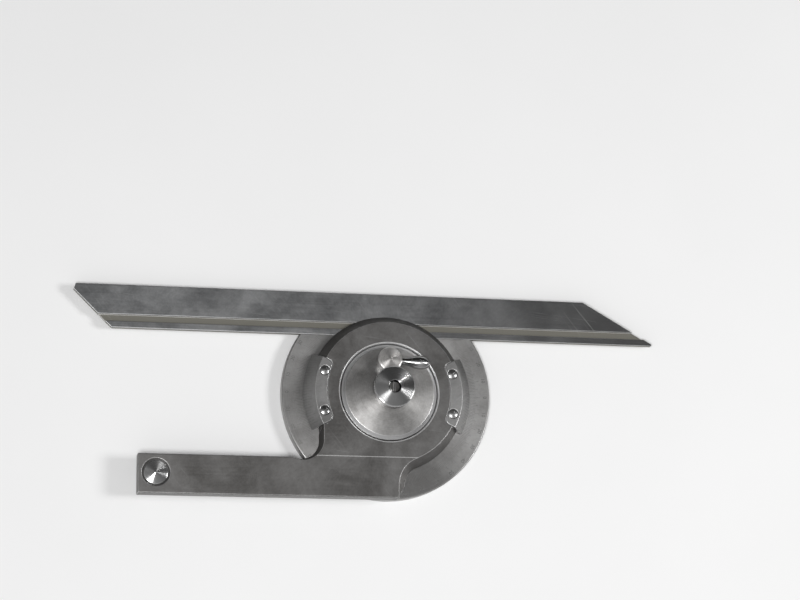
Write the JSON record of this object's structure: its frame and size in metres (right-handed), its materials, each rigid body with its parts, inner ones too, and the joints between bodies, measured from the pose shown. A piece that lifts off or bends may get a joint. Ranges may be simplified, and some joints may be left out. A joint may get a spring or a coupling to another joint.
{
  "type": "universal bevel protractor",
  "caption": "Universal bevel protractor: a graduated disc turns in a stock's round plate and carries a sliding grooved blade, with a lock knob and an eccentric clamp lever.",
  "frame": {"origin": "on the turning axis, at the back face of the graduated disc", "axes": "+Z along the turning axis towards the lock knob, +X along the blade towards its 30 degree end, and the stock on the -Y side"},
  "size_m": [0.1981, 0.0701, 0.0185],
  "materials": {
    "ground_steel": "satin ground",
    "blade_steel": "ground",
    "polished_steel": "fine turned",
    "spring_steel": "plain"
  },
  "bodies": {
    "stock": {"stock_plate": "ground_steel", "stock_plug": "polished_steel", "vernier_left": "ground_steel", "vernier_right": "ground_steel", "vernier_screw_left_lower": "polished_steel", "vernier_screw_left_upper": "polished_steel", "vernier_screw_right_lower": "polished_steel", "vernier_screw_right_upper": "polished_steel"},
    "dial": {"dial_disc": "ground_steel", "dial_hub": "ground_steel", "hub_cap": "polished_steel", "centre_stud": "ground_steel", "release_spring": "spring_steel", "clamp_bush": "ground_steel"},
    "blade": {"blade": "blade_steel"},
    "clamp_lever": {"clamp_spindle": "polished_steel", "clamp_lever": "polished_steel", "spindle_clip": "spring_steel"},
    "clamp_hook": {"clamp_hook": "ground_steel"},
    "thrust_washer": {"thrust_washer": "polished_steel"},
    "lock_knob": {"lock_knob": "polished_steel"}
  },
  "joints": [
    {"name": "blade_swing", "type": "hinge", "parent": "stock", "child": "dial", "pos_m": [0, 0, 0.004], "axis": [0, 0, 1], "continuous": true},
    {"name": "blade_slide", "type": "slide", "parent": "dial", "child": "blade", "axis": [1, 0, 0], "range_m": [-0.078, 0.08]},
    {"name": "clamp_lever_turn", "type": "hinge", "parent": "dial", "child": "clamp_lever", "pos_m": [-0.0005, 0.0102, 0.01205], "axis": [0, 0, 1], "range_deg": [0, 150]},
    {"name": "clamp_hook_slide", "type": "slide", "parent": "dial", "child": "clamp_hook", "axis": [0, 1, 0], "range_m": [0, 0.00058]},
    {"name": "knob_rise", "type": "slide", "parent": "dial", "child": "thrust_washer", "axis": [0, 0, 1], "range_m": [0, 0.0004]},
    {"name": "lock_knob_turn", "type": "hinge", "parent": "thrust_washer", "child": "lock_knob", "pos_m": [0, 0, 0.0104], "axis": [0, 0, 1], "range_deg": [0, 180]}
  ],
  "couplings": [
    {"joint": "clamp_lever_turn", "follows": "clamp_hook_slide", "rad_per_m": 4513.7},
    {"joint": "lock_knob_turn", "follows": "knob_rise", "rad_per_m": 7853.9}
  ]
}
